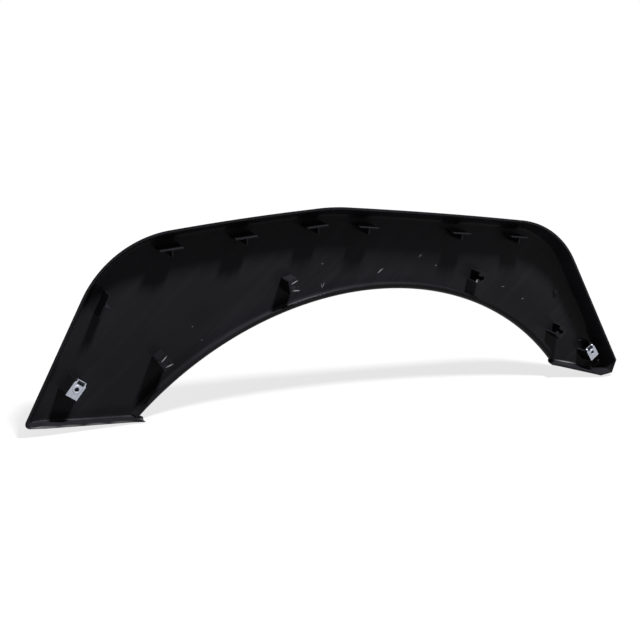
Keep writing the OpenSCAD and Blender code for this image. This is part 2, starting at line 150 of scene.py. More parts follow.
# Each row is a corner between its neighbours, its radius, the swell of the run before it and its arc's steps.
corners = [
    (BROAD_TOE, BROAD_SHOULDER, CROWN, BROAD_SHOULDER_R, 0.0, 30),
    (BROAD_SHOULDER, CROWN, NARROW_SHOULDER, CROWN_R, EDGE_SWELL, 12),
    (CROWN, NARROW_SHOULDER, NARROW_FOOT, NARROW_SHOULDER_R, EDGE_SWELL, 30),
]
places, inwards = [], []
here = side_start
for a, c, b, r, swell, arc_steps in corners:
    cut = tangent(a, c, b, r)[0]
    stop = c - unit(c - a) * cut
    run_steps = int(np.linalg.norm(stop - here) / EDGE_STEP)
    for part in (straight(here, stop, run_steps, swell), bend(a, c, b, r, arc_steps)):
        places.append(part[0])
        inwards.append(part[1])
    here = c + unit(b - c) * cut
last_run = straight(here, NARROW_FOOT, int(np.linalg.norm(NARROW_FOOT - here) / EDGE_STEP))
places += [last_run[0], NARROW_FOOT[None]]
inwards += [last_run[1], last_run[1][:1]]
edge = np.concatenate(places)
inward = np.concatenate(inwards)
print("mating edge:", len(edge), "stations")

# %% [markdown]
# ## The section
# One section runs from the rim down the sloping wall, round a fillet, across the face and into the rolled
# lip. A curve with a bevel profile could carry it, but the feet have to reach its single rows. So it is
# written once, as distances and depths, for the inner skin and, with the wall's thickness added, for the
# outer one. A loft of that section along the edge is the whole moulding.

# %% Sizes and rows of the section
WALL, FACE_DEPTH, SWELL_W = 2.5, 22.5, 60.0
EDGE_SLOPE, ROOT_R = 24.0, 7.0
ROLL_R, ROLL_DEG, LIP_DEPTH = 8.0, 92.0, 21.0
ROLL_MID_R = LIP_R + ROLL_R
FACE_RISE = LIP_DEPTH + ROLL_R - WALL - FACE_DEPTH
WALL_STEPS, FILLET_STEPS, FACE_STEPS, LOW_STEPS, CURL_STEPS = 4, 8, 14, 12, 12
ROOT_ROW = WALL_STEPS + FILLET_STEPS
LIP_ROW = ROOT_ROW + FACE_STEPS
LOW_ROW = LIP_ROW + LOW_STEPS
LAST_ROW = LOW_ROW + CURL_STEPS
ROWS = LAST_ROW + 1
wall_rows = np.arange(ROOT_ROW)
curl = np.arange(LIP_ROW, ROWS)
print("section:", ROWS, "rows, and the lip has", len(curl), "of them")

# %% [markdown]
# ## The rolled lip
# Round the wheel opening the edge is rolled forward until it faces the viewer, which keeps it blunt and
# stiff. A bevel on a sharp edge would be thinner than the wall, so the rows of both skins lie on circles
# round one middle. Toward the feet the roll opens up, because there the lip runs out into the flanges.

# %% Rolled lip
END_CURL, CURL_FADE = 0.3, 35.0


def roll_deg(share):
    """Angle of each lip row round the roll: a quarter turn, then the given share of the curl."""
    quarter = 90 * np.minimum((curl - LIP_ROW) / LOW_STEPS, 1)
    return quarter + share * ROLL_DEG * np.maximum(curl - LOW_ROW, 0) / CURL_STEPS


def roll_radius(off, share=END_CURL):
    """Distance of the lip's rows from the wheel's axis: middle - radius * sin(angle)."""
    return ROLL_MID_R - (ROLL_R - WALL + off) * np.sin(np.radians(roll_deg(share)))


def roll_y(off, share=END_CURL):
    """Depth of the lip's rows: middle + radius * cos(angle)."""
    return LIP_DEPTH + (ROLL_R - WALL + off) * np.cos(np.radians(roll_deg(share)))


print("lowest line of the lip:", round(float(roll_radius(WALL)[LOW_STEPS]), 2), "mm from the wheel's axis")

# %% [markdown]
# ## Face and wall
# The face is almost flat and swells softly toward the lip. The wall leans outward, so that the real part
# leaves its mould, and a fillet joins both. One function gives the wall of either skin, because an arc
# round the same middle with another radius is parallel to the first.

# %% Face and wall


def ease(t):
    """Soft step: (1 - cos(pi t)) / 2 between 0 and 1."""
    return (1 - np.cos(np.pi * np.clip(t, 0, 1))) / 2


def face_y(gap):
    """Depth of the face at a distance from the lip: flat, with a soft swell toward the lip."""
    return FACE_DEPTH + FACE_RISE * ease(1 - gap / SWELL_W)


def wall_profile(slope, r, rim, depth, off):
    """Distance from the face's edge and depth of each wall row: a line leaning by slope, then an arc of r."""
    rr = r + off
    sin, cos = np.sin(np.radians(slope)), np.cos(np.radians(slope))
    foot = depth - r + rr * sin
    down = np.minimum(wall_rows / WALL_STEPS, 1.0)
    beta = np.radians(90 - slope) * np.minimum((ROOT_ROW - wall_rows) / FILLET_STEPS, 1.0)
    on_line = wall_rows < WALL_STEPS
    lean = np.tan(np.radians(slope)) * (foot - rim) * (1 - down)
    reach = np.where(on_line, rr * cos + lean, rr * np.sin(beta))
    y = np.where(on_line, rim + (foot - rim) * down, depth - r + rr * np.cos(beta))
    return reach, y


def wall_reach(slope, r, rim, depth):
    """How far the wall's rim stands out from the face's edge."""
    return wall_profile(slope, r, rim, depth, WALL)[0][..., :1]


rim_reach = float(wall_reach(EDGE_SLOPE, ROOT_R, 0.0, FACE_DEPTH)[0])
print("the rim stands", round(rim_reach, 1), "mm out from the face")

# %% [markdown]
# ## The feet
# Each foot ends in a flange that folds from the face toward the mating plane. A separate plate would leave
# a seam that the real moulding doesn't have. So the flange's wall uses the same profile, and it stands on
# the points where the first or the last section already lies. Its rim falls back from the mating plane
# toward the wheel opening, which is its dip.

# %% The two feet
FOOT_R = 2.0
BROAD_SLOPE, BROAD_DIP = -8.0, 9.0
NARROW_SLOPE, NARROW_DIP = 5.0, 11.0
NARROW_TOE = np.array([395.5, 282.8])
NARROW_HEEL = np.array([368.7, 281.0])


def make_foot(end, outer, up_sign, slope, dip, run, ear):
    """A foot is its end by the lip, the ways out and up into the face, its draft, dip, dip's run and ear."""
    out = unit(outer - end)
    up = up_sign * left(out)
    return {"end": end, "out": out, "up": up, "slope": slope, "dip": dip, "run": run, "ear": ear}


broad_run = (np.linalg.norm(BROAD_TOE - broad_heel) + SWELL_W) / 2
narrow_run = np.linalg.norm(NARROW_HEEL - narrow_tip)
broad = make_foot(broad_heel, BROAD_TOE, -1, BROAD_SLOPE, BROAD_DIP, broad_run, BROAD_EAR)
narrow = make_foot(narrow_tip, NARROW_HEEL, 1, NARROW_SLOPE, NARROW_DIP, narrow_run, NARROW_EAR)
foot_rows = np.arange(ROOT_ROW + 1, ROWS)
print("the dip runs out after", round(float(broad_run), 1), "and", round(float(narrow_run), 1), "mm")

# %% Sections over a foot


def foot_rise(foot, rim, y):
    """Height of the face's edge over the flange's edge, for arrays of rim depth and outer skin depth."""
    rim, y = np.broadcast_arrays(np.asarray(rim, float), np.asarray(y, float))
    return wall_reach(foot["slope"], FOOT_R, rim[..., None], (y - WALL)[..., None])[..., 0]


def leave_circle(a, d, r):
    """Where the line from a along d leaves the circle of radius r: a + d (sqrt(m^2 - a.a + r^2) - m)."""
    m = (a * d).sum(-1)
    return a + d * (np.sqrt(m * m - (a * a).sum(-1) + r * r) - m)[..., None]


def foot_base(foot):
    """Point of the foot's edge that the face's distances from the lip are counted from."""
    rise = foot_rise(foot, foot["dip"], roll_y(WALL)[0])
    lifted = leave_circle(foot["end"] + foot["up"] * rise, foot["out"], np.float64(ROLL_MID_R))
    return lifted - foot["up"] * rise


def foot_section(foot, off):
    """Places, skin depths and rim depths of the section over a foot, from the face to the lip's end."""
    y_low = np.where(curl <= LOW_ROW, roll_y(WALL), roll_y(WALL)[LOW_STEPS])
    rise = foot_rise(foot, foot["dip"], y_low)
    lip = leave_circle(foot["end"] + foot["up"] * rise[:, None], foot["out"], roll_radius(off))
    gap = foot["gaps"]
    rim = foot["dip"] * np.maximum(1 - gap / foot["run"], 0)
    y = face_y(gap)
    face = foot_base(foot) + foot["out"] * gap[:, None] + foot["up"] * foot_rise(foot, rim, y + WALL)[:, None]
    return (
        np.concatenate([face, lip]),
        np.concatenate([y + off, roll_y(off)]),
        np.concatenate([rim, np.full(len(curl), foot["dip"])]),
    )


def foot_wall(foot, off):
    """Grid of the flange's wall: one column per face row down to the lip's lowest row, wall rows across."""
    place, y, rim = foot_section(foot, off)
    n = LOW_ROW - ROOT_ROW
    place, y, rim = place[:n], y[:n], rim[:n]
    reach, depth = wall_profile(foot["slope"], FOOT_R, rim[:, None], (y - off)[:, None], off)
    full = wall_reach(foot["slope"], FOOT_R, rim[:, None], (y - off)[:, None])
    ear = foot["ear"] * np.clip((foot_rows[:n] - LIP_ROW) / LOW_STEPS, 0, 1)[:, None]
    ear = ear * np.minimum(2 * reach / full, 1)
    xz = place[:, None] - foot["up"] * reach[..., None] - foot["out"] * ear[..., None]
    return np.concatenate([xz[..., :1], depth[..., None], xz[..., 1:]], -1)


print("the broad foot counts from", foot_base(broad).round(1))

# %% [markdown]
# ## The whole skin
# Columns run from the end of the broad flange, round its toe, along the mating edge and back to the end of
# the narrow flange, and every column has the same rows. First come the places where the walls meet the
# face. The two walls at the broad toe meet in a mitre, so their common point is where two straight lines
# cross.

# %% Roots of the walls


def cross(a, b):
    """Cross product of two plane vectors: a.x b.z - a.z b.x."""
    return a[0] * b[1] - a[1] * b[0]


side_in = -left(side_dir)
inset = wall_reach(EDGE_SLOPE, ROOT_R, 0.0, FACE_DEPTH)[0]
side_line = side_start + side_in * inset
foot_line = BROAD_TOE + broad["up"] * foot_rise(broad, 0.0, FACE_DEPTH + WALL)
broad_root = side_line + side_dir * cross(foot_line - side_line, broad["out"]) / cross(side_dir, broad["out"])
roots = edge + inward * inset
roots[0] = broad_root
narrow_root = roots[-1]
print("roots at the feet:", broad_root.round(1), narrow_root.round(1))

# %% Ends of the columns on the lip
part_way = 1 - np.arange(1, FACE_STEPS) / FACE_STEPS
broad["gaps"] = float((broad_root - foot_base(broad)) @ broad["out"]) * part_way
narrow["gaps"] = (narrow["run"] - NARROW_EAR) * part_way / part_way[0]
lip_ends = [polar(foot_section(f, 0.0)[0][LIP_ROW - ROOT_ROW - 1]) for f in (broad, narrow)]
root_deg = polar(roots)
lip_deg = lip_ends[0] + (lip_ends[1] - lip_ends[0]) * (root_deg - root_deg[0]) / (root_deg[-1] - root_deg[0])
TOE_STEPS = 6
toe_points, toe_inward = bend(broad_heel, BROAD_TOE, BROAD_SHOULDER, BROAD_TOE_R, TOE_STEPS)
print("the lip runs from", round(float(lip_deg[0]), 1), "to", round(float(lip_deg[-1]), 1), "degrees")

# %% [markdown]
# ## Grids of wall and face
# A grid holds one point for each column and row, and numpy works it out at once. The wall's rows leave the
# rim square to it. At the toe they would stand out past the side wall as a thin fin, so they are moved back
# onto that wall's surface, as a mitre is cut.

# %% Grids of wall and face


def wall_grid(points, inwards, ends, slopes, radii, off):
    """Wall rows that leave the rim square to it and bend to the face's edge where that lies aside."""
    slopes, radii = slopes[:, None], radii[:, None]
    reach, y = wall_profile(slopes, radii, 0.0, FACE_DEPTH, off)
    full = wall_reach(slopes, radii, 0.0, FACE_DEPTH)
    aside = ends - points - inwards * full
    square = points[:, None] + inwards[:, None] * (full - reach)[..., None]
    xz = square + aside[:, None] * np.maximum(1 - reach / full, 0)[..., None]
    return np.concatenate([xz[..., :1], np.broadcast_to(y, reach.shape)[..., None], xz[..., 1:]], -1)


def behind_side(points, off):
    """Points past the side wall's surface, moved back onto it, so that the toe is a clean mitre."""
    reach, y = wall_profile(EDGE_SLOPE, ROOT_R, 0.0, FACE_DEPTH, off)
    least = np.interp(points[..., 1], y, inset - reach)
    stands = (points[..., [0, 2]] - side_start) @ side_in
    return points + np.maximum(least - stands, 0)[..., None] * np.array([side_in[0], 0, side_in[1]])


def main_face(off):
    """Face and lip rows of the main columns: straight from the root to the lip, then round the roll."""
    lip = at(lip_deg) * ROLL_MID_R
    span = np.linalg.norm(roots - lip, axis=1)
    t = 1 - np.arange(FACE_STEPS) / FACE_STEPS
    gap = span[:, None] * t
    face = lip[:, None] + (roots - lip)[:, None] * t[None, :, None]
    from_end = np.radians(np.minimum(lip_deg[0] - lip_deg, lip_deg - lip_deg[-1])) * LIP_R
    share = END_CURL + (1 - END_CURL) * ease(from_end / CURL_FADE)[:, None]
    rolled = at(lip_deg)[:, None] * roll_radius(off, share)[..., None]
    xz = np.concatenate([face, rolled], 1)
    y = np.concatenate([face_y(gap) + off, roll_y(off, share)], 1)
    grid = np.concatenate([xz[..., :1], y[..., None], xz[..., 1:]], -1)
    for column, foot in ((0, broad), (-1, narrow)):
        place, depth, _ = foot_section(foot, off)
        grid[column, 1:] = np.stack([place[:, 0], depth, place[:, 1]], -1)
    return grid


print("lip columns:", main_face(0.0).shape[0])

# %% All columns of the skin
FOOT_COLS = LOW_ROW - ROOT_ROW
FIRST = FOOT_COLS + TOE_STEPS
LAST = FIRST + len(edge) - 1
COLS = LAST + 2 + FOOT_COLS


def skin(off):
    """All points of one skin, columns by rows."""
    grid = np.zeros((COLS, ROWS, 3))
    grid[:FOOT_COLS, :ROOT_ROW] = foot_wall(broad, off)[::-1]
    t = np.arange(TOE_STEPS) / TOE_STEPS
    toe = wall_grid(
        toe_points,
        toe_inward,
        np.repeat(broad_root[None], TOE_STEPS, 0),
        BROAD_SLOPE + (EDGE_SLOPE - BROAD_SLOPE) * t,
        FOOT_R + (ROOT_R - FOOT_R) * t,
        off,
    )
    grid[FOOT_COLS:FIRST, :ROOT_ROW] = behind_side(toe, off)
    ones = np.ones(len(edge))
    grid[FIRST : LAST + 1, :ROOT_ROW] = wall_grid(edge, inward, roots, EDGE_SLOPE * ones, ROOT_R * ones, off)
    grid[LAST + 1, :ROOT_ROW] = wall_grid(
        NARROW_TOE[None],
        unit(narrow_root - NARROW_TOE)[None],
        narrow_root[None],
        np.array([(EDGE_SLOPE + NARROW_SLOPE) / 2]),
        np.array([(ROOT_R + FOOT_R) / 2]),
        off,
    )[0]
    grid[LAST + 2 :, :ROOT_ROW] = foot_wall(narrow, off)
    grid[FIRST : LAST + 1, ROOT_ROW:] = main_face(off)
    return grid


# Flange columns borrow their face points from the first or last section, so no corner has a doubled point.
column, row = np.meshgrid(np.arange(COLS), np.arange(ROWS), indexing="ij")
shared_column = np.where(row < ROOT_ROW, column, np.clip(column, FIRST, LAST))
shared_row = np.where(
    row < ROOT_ROW,
    row,
    np.where(
        column < FOOT_COLS,
        np.maximum(row, ROOT_ROW + FOOT_COLS - column),
        np.where(column > LAST + 1, np.maximum(row, ROOT_ROW + column - LAST - 1), row),
    ),
)
table = shared_column * ROWS + shared_row
print("skin grid:", COLS, "columns by", ROWS, "rows")

# %% [markdown]
# ## From grids to one closed mesh
# Four neighbouring points make a face. Where two of them are the same point, the face is a triangle or
# nothing. The outer skin is wound the other way round, and strips along all four borders close the gap
# between the skins.

# %% Mesh helpers


def quads(a, b, c, d):
    """Rows of four corners, cleaned: faces with a doubled corner become triangles or vanish."""
    faces = np.stack([a, b, c, d], -1).reshape(-1, 4)
    out = []
    same = [faces[:, k] == faces[:, (k + 1) % 4] for k in range(4)]
    doubled = sum(s.astype(int) for s in same)
    diagonal = (faces[:, 0] == faces[:, 2]) | (faces[:, 1] == faces[:, 3])
    out += faces[(doubled == 0) & ~diagonal].tolist()
    for k in range(4):
        keep = [j for j in range(4) if j != k]
        out += faces[(doubled == 1) & same[k] & ~diagonal][:, keep].tolist()
    return out


def new_mesh(name, points, faces):
    """A mesh object at the origin from points in millimetres round the wheel's middle."""
    mesh = bpy.data.meshes.new(name)
    mesh.from_pydata(((np.asarray(points, float) - THREAD) * MM).tolist(), [], faces)
    mesh.validate()
    mesh.polygons.foreach_set("use_smooth", np.full(len(mesh.polygons), True))
    piece = bpy.data.objects.new(name, mesh)
    bpy.context.scene.collection.objects.link(piece)
    print(name, len(mesh.vertices), "points,", len(mesh.polygons), "faces")
    return piece


def skin_faces():
    """Faces of both skins and the four borders between them."""
    far = table + COLS * ROWS
    faces = quads(table[:-1, :-1], table[1:, :-1], table[1:, 1:], table[:-1, 1:])
    faces += quads(far[:-1, 1:], far[1:, 1:], far[1:, :-1], far[:-1, :-1])
    faces += quads(table[1:, 0], table[:-1, 0], far[:-1, 0], far[1:, 0])
    faces += quads(table[:-1, -1], table[1:, -1], far[1:, -1], far[:-1, -1])
    faces += quads(table[0, :-1], table[0, 1:], far[0, 1:], far[0, :-1])
    faces += quads(table[-1, 1:], table[-1, :-1], far[-1, :-1], far[-1, 1:])
    return faces


skin_points = np.concatenate([skin(0.0).reshape(-1, 3), skin(WALL).reshape(-1, 3)])
faces = skin_faces()
used = np.unique(np.concatenate([np.ravel(f) for f in faces]))
renumber = np.zeros(len(skin_points), int)
renumber[used] = np.arange(len(used))
box_low, box_high = (np.array(corner) / MM + THREAD for corner in cad_box)
shell_points = np.clip(skin_points[used], box_low, box_high)
shell_faces = [[int(renumber[k]) for k in f] for f in faces]
print("shell:", len(shell_points), "points,", len(shell_faces), "faces")

# %% [markdown]
# ## What stands on the face
# Ribs, towers and clip seats are prisms that stand on the face with their own height toward the mating
# plane. A prism is an outline carried along that height, and a hollow one has a second outline inside. Each
# is placed by a point of the face and a turn, as the mould's cavities are.

# %% Prisms


def ring_faces(rings, n):
    """Quads between consecutive rings of n points, and between the last ring and the first."""
    index = np.arange(rings * n).reshape(rings, n)
    upper = np.roll(index, -1, 0)
    return quads(index, np.roll(index, -1, 1), np.roll(upper, -1, 1), upper)


def stand(local, place, deg, y):
    """Local x, y, z to the wheel's frame: z points to the mating plane, and x turns by deg."""
    c, s = math.cos(math.radians(deg)), math.sin(math.radians(deg))
    x, z, h = local[..., 0], local[..., 1], local[..., 2]
    return np.stack([place[0] + x * c - z * s, y - h, place[1] + x * s + z * c], -1)


def prism(outline, low, high, foot_outline=None):
    """Closed block on an outline from height low to high. The foot's outline may be wider."""
    top = np.asarray(outline, float)
    foot = top if foot_outline is None else np.asarray(foot_outline, float)
    n = len(top)
    points = np.concatenate([np.c_[foot, np.full(n, low)], np.c_[top, np.full(n, high)]])
    index = np.arange(n)
    nxt = np.roll(index, -1)
    sides = np.stack([index, nxt, nxt + n, index + n], -1).tolist()
    return points, sides + [list(range(n))[::-1], list(range(n, 2 * n))]


def frame_prism(outline, hole, low, high):
    """Tube with equal numbers of outer and inner points, closed by a band at each end."""
    levels = [(outline, low), (outline, high), (hole, high), (hole, low)]
    points = np.concatenate([np.c_[ring, np.full(len(ring), height)] for ring, height in levels])
    return points, ring_faces(len(levels), len(outline))


def rectangle(x0, x1, y0, y1):
    """Corners of a rectangle, anticlockwise."""
    return np.array([[x0, y0], [x1, y0], [x1, y1], [x0, y1]], float)


moulded = [(shell_points, shell_faces)]
seat_y = float(face_y(SWELL_W)) + WALL / 2
print("ribs and towers are rooted", seat_y, "mm deep, in the middle of the wall")

# %% [markdown]
# ## Locating ribs
# Seven T-shaped ribs stand along the mating edge and touch the body behind it. Plain boxes would look too
# heavy, so each is a prism on a T that is thinner at its tip, so that it leaves the mould.

# %% Locating ribs
RIB_Y, RIB_BAR, RIB_STEM = 4.0, 27.0, 7.0
RIB_W, RIB_TIP_W = 2.0, 1.0
RIB_INSET, SIDE_RIB_INSET = 23.5, 28.0
RIB_RUNS = [
    (BROAD_TOE, BROAD_SHOULDER, [153], SIDE_RIB_INSET),
    (BROAD_SHOULDER, CROWN, [69, 157, 247], RIB_INSET),
    (CROWN, NARROW_SHOULDER, [57, 195, 288], RIB_INSET),
]


def rib_outline(w):
    """T of thickness w: a bar along the mating edge and a stem toward the wheel."""
    h, bar, stem = w / 2, RIB_BAR / 2, -RIB_W / 2 - RIB_STEM
    return np.array([[-bar, -h], [-h, -h], [-h, stem], [h, stem], [h, -h], [bar, -h], [bar, h], [-bar, h]])


for a, b, distances, rib_inset in RIB_RUNS:
    d = unit(b - a)
    for s in distances:
        points, rib_faces = prism(rib_outline(RIB_TIP_W), RIB_Y - seat_y, 0.0, rib_outline(RIB_W))
        moulded.append((stand(points, a + d * s - left(d) * rib_inset, float(polar(d)), RIB_Y), rib_faces))
print("ribs:", len(moulded) - 1)

# %% [markdown]
# ## Nut towers
# A nut tower is a tapered box with a shelf that the spring nut is pushed over from the open end. A solid
# block with a boolean cut would do, but the mould makes thin walls, so each wall is its own prism with a
# wider foot.

# %% Nut towers
NUT_W, NUT_L, NUT_T, NUT_GAP, NUT_Y = 14.5, 21.5, 1.0, 0.05, 4.0
SHELF, SPREAD, TOWER_WALL = 2.6, 3.0, 1.8
FOLD_R = SHELF / 2 + NUT_GAP + NUT_T
FOLD_X = NUT_L / 2 - FOLD_R
SHELF_HOLE_R = 4.3
NUTS = {"broad_end": ((-388.5, 326.6), 56.0), "narrow_end": ((353.4, 315.6), 130.0)}
HOLE_STEPS = 40


def hole_and_border(x0, x1, half, r, n):
    """Circle of radius r round the thread and a rectangle's border, in the same n directions."""
    way = at(360 * (np.arange(n) + 0.5) / n)
    across = np.where(way[:, 0] > 0, x1, x0) / way[:, 0]
    along = half / np.abs(way[:, 1])
    return way * r, way * np.minimum(across, along)[:, None]


def tower(place, deg, gap):
    """Parts of one nut tower: two side walls, an end wall and the shelf with its hole."""
    base = -(float(face_y(gap)) + WALL / 2 - NUT_Y - NUT_T - NUT_GAP)
    x0, x1, w = -NUT_L / 2, FOLD_X, NUT_W / 2
    parts = []
    for side in (-1, 1):
        inner, outer = sorted([side * (w - TOWER_WALL), side * w])
        wide = rectangle(x0 - SPREAD, x1, inner + side * SPREAD, outer + side * SPREAD)
        parts.append(prism(rectangle(x0, x1, inner, outer), base, 0.0, wide))
    wide = rectangle(x0 - SPREAD, x0 + TOWER_WALL - SPREAD, -w - SPREAD, w + SPREAD)
    parts.append(prism(rectangle(x0, x0 + TOWER_WALL, -w, w), base, 0.0, wide))
    hole, border = hole_and_border(x0, x1, w, SHELF_HOLE_R, HOLE_STEPS)
    parts.append(frame_prism(border, hole, -SHELF, 0.0))
    top = np.array([0.0, 0.0, -NUT_T - NUT_GAP])
    return [(stand(points + top, place, deg, NUT_Y), part_faces) for points, part_faces in parts]


for place, deg in NUTS.values():
    moulded += tower(place, deg, min(math.hypot(*place) - ROLL_MID_R, SWELL_W))
print("parts with the towers:", len(moulded))

# %% [markdown]
# ## Clip seats
# Four smaller seats near the lip take push-in clips. Their keyhole opens toward the crown of the arch, so a
# clip slides in sideways. The plate and its keyhole are one ring of points through the slot's mouth, which
# needs no boolean cut. The seats on the narrow side are the mirror image, and their faces are turned round
# again for it.

# %% Clip seats and the filling boss
CLIP_RISE, CLIP_Y, CLIP_W, CLIP_L = 25.0, 5.0, 13.0, 16.0
CLIP_R, CLIP_SLOT, CLIP_WALL, CLIP_TOP, CLIP_SINK = 3.5, 4.4, 1.8, 2.0, 0.1
BOSS_AT, BOSS_R, BOSS_H = (280.0, 404.0), 3.0, 2.5
CLIP_ANGLES = (17.5, 39.6)


def keyhole_plate():
    """Half-open plate: outline and keyhole joined through the slot's mouth into one ring of points."""
    half_deg = math.degrees(math.asin(CLIP_SLOT / 2 / CLIP_R))
    deg = np.linspace(half_deg, 360 - half_deg, HOLE_STEPS)
    hole = at(deg) * CLIP_R
    w, l, s = CLIP_W / 2, CLIP_L / 2, CLIP_SLOT / 2
    outer = np.array([[w, s], [w, l], [-w, l], [-w, -l], [w, -l], [w, -s]])
    return np.concatenate([outer, hole[::-1]])


def clip_seat(side, angle):
    """Parts of one clip seat: three walls and the keyhole plate. side is 1 toward the broad end."""
    base = CLIP_Y - float(face_y(CLIP_RISE)) - WALL / 2
    w, l = CLIP_W / 2, CLIP_L / 2
    walls = [
        rectangle(-w, w, l - CLIP_WALL, l),
        rectangle(-w, w, -l, CLIP_WALL - l),
        rectangle(-w, CLIP_WALL - w, -l, l),
    ]
    parts = [prism(outline, base, -CLIP_SINK) for outline in walls]
    parts.append(prism(keyhole_plate(), -CLIP_TOP, 0.0))
    deg = 90 + side * angle
    flipped = []
    for points, part_faces in parts:
        if side < 0:
            points = points * np.array([-1.0, 1.0, 1.0])
            part_faces = [f[::-1] for f in part_faces]
        flipped.append((stand(points, at(deg) * (ROLL_MID_R + CLIP_RISE), deg - 90, CLIP_Y), part_faces))
    return flipped


for side in (-1, 1):
    for angle in CLIP_ANGLES:
        moulded += clip_seat(side, angle)
boss = at(360 * np.arange(HOLE_STEPS) / HOLE_STEPS) * BOSS_R
boss_points, boss_faces = prism(boss, -BOSS_H - WALL / 2, 0.0)
moulded.append((stand(boss_points, BOSS_AT, 0.0, FACE_DEPTH - BOSS_H), boss_faces))
print("parts with the seats and the boss:", len(moulded))

# %% [markdown]
# ## One moulding
# All parts of the moulding become one piece, which stands for the CAD solid. A small bevel rounds every
# hard edge, because a moulded edge is never sharp, and that narrow round is what catches the light. The
# bevel also gives the rounds the second material, because rubbed edges are glossier than the rest.

# %% The moulded piece


def joined(name, parts):
    """One object from many (points, faces) parts."""
    offset, points, all_faces = 0, [], []
    for part_points, part_faces in parts:
        points.append(part_points)
        all_faces += [[k + offset for k in f] for f in part_faces]
        offset += len(part_points)
    return new_mesh(name, np.concatenate(points), all_faces)


EDGE_ROUND, EDGE_ANGLE = 0.6 * MM, 50
trim = joined("moulded_trim", moulded)
bevel = trim.modifiers.new("edge round", "BEVEL")
bevel.width = EDGE_ROUND
bevel.segments = 2
bevel.limit_method = "ANGLE"
bevel.angle_limit = math.radians(EDGE_ANGLE)
bevel.harden_normals = True
bevel.material = 1
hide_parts("trim_shell")
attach(trim, "root")

# %% [markdown]
# ## Raised thread rings
# The outer leaf of each nut is pressed up round its thread into a dished ring. A boolean on the leaf would
# change the CAD's own mesh, so the ring is a piece of its own: an oval turned round the thread's axis, half
# sunk in the leaf and closed along both directions.

# %% Thread rings
RING_R, RING_TUBE_W, RING_TUBE_H = 3.75, 1.25, 0.55
RING_STEPS, TUBE_STEPS = 64, 20
ring_turn = 2 * np.pi * np.arange(RING_STEPS) / RING_STEPS
ring_round = 2 * np.pi * np.arange(TUBE_STEPS) / TUBE_STEPS


def thread_ring(place, deg):
    """Torus with an oval tube: x, y = (R + w cos v)(cos u, sin u), height = h sin v."""
    u, v = np.meshgrid(ring_turn, ring_round, indexing="ij")
    r = RING_R + RING_TUBE_W * np.cos(v)
    local = np.stack([r * np.cos(u), r * np.sin(u), RING_TUBE_H * np.sin(v)], -1)
    return stand(local.reshape(-1, 3), place, deg, NUT_Y)


ring_index = np.arange(RING_STEPS * TUBE_STEPS).reshape(RING_STEPS, TUBE_STEPS)
ring_next = np.roll(ring_index, -1, 0)
ring_quads = quads(ring_index, ring_next, np.roll(ring_next, -1, 1), np.roll(ring_index, -1, 1))
rings = {}
for end, (place, deg) in NUTS.items():
    rings[end] = new_mesh(f"thread_ring_{end}", thread_ring(place, deg), ring_quads)
    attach(rings[end], "root")

# %% [markdown]
# ## Shader helpers
# A material is a tree of nodes. It could be built by hand in the editor, but a lesson should say each step,
# so short helpers make a node, a colour ramp, a sum and a mix, and the materials below stay readable.

# %% Shader helpers


def node(tree, kind, **values):
    """New shader node with its plain inputs and settings given by name."""
    made = tree.nodes.new(kind)
    for key, value in values.items():
        if key in made.inputs:
            made.inputs[key].default_value = value
        else:
            setattr(made, key, value)
    return made


def material(name):
    """Fresh node material with one Principled shader."""
    made = bpy.data.materials.new(name)
    made.use_nodes = True
    tree = made.node_tree
    return made, tree, tree.nodes["Principled BSDF"]


def ramp(tree, source, stops):
    """Colour ramp fed by source, with stops of (position, grey or colour)."""
    made = tree.nodes.new("ShaderNodeValToRGB")
    elements = made.color_ramp.elements
    while len(elements) < len(stops):
        elements.new(0.5)
    for element, (position, value) in zip(elements, stops):
        element.position = position
        element.color = (*value, 1) if isinstance(value, tuple) else (value, value, value, 1)
    tree.links.new(source, made.inputs[0])
    return made.outputs[0]


def computed(tree, operation, a, b):
    """One operation on two values, each of them a socket or a plain number."""
    made = node(tree, "ShaderNodeMath", operation=operation)
    for value, socket in zip((a, b), made.inputs):
        if isinstance(value, float):
            socket.default_value = value
        else:
            tree.links.new(value, socket)
    return made.outputs[0]


def mixed(tree, factor, a, b):
    """Colour a turned into colour b by factor, where b is a plain colour."""
    made = node(tree, "ShaderNodeMix", data_type="RGBA")
    tree.links.new(factor, made.inputs["Factor"])
    tree.links.new(a, made.inputs[6])
    made.inputs[7].default_value = (*b, 1)
    return made.outputs[2]


print("helpers for node, material, ramp, computed and mixed")
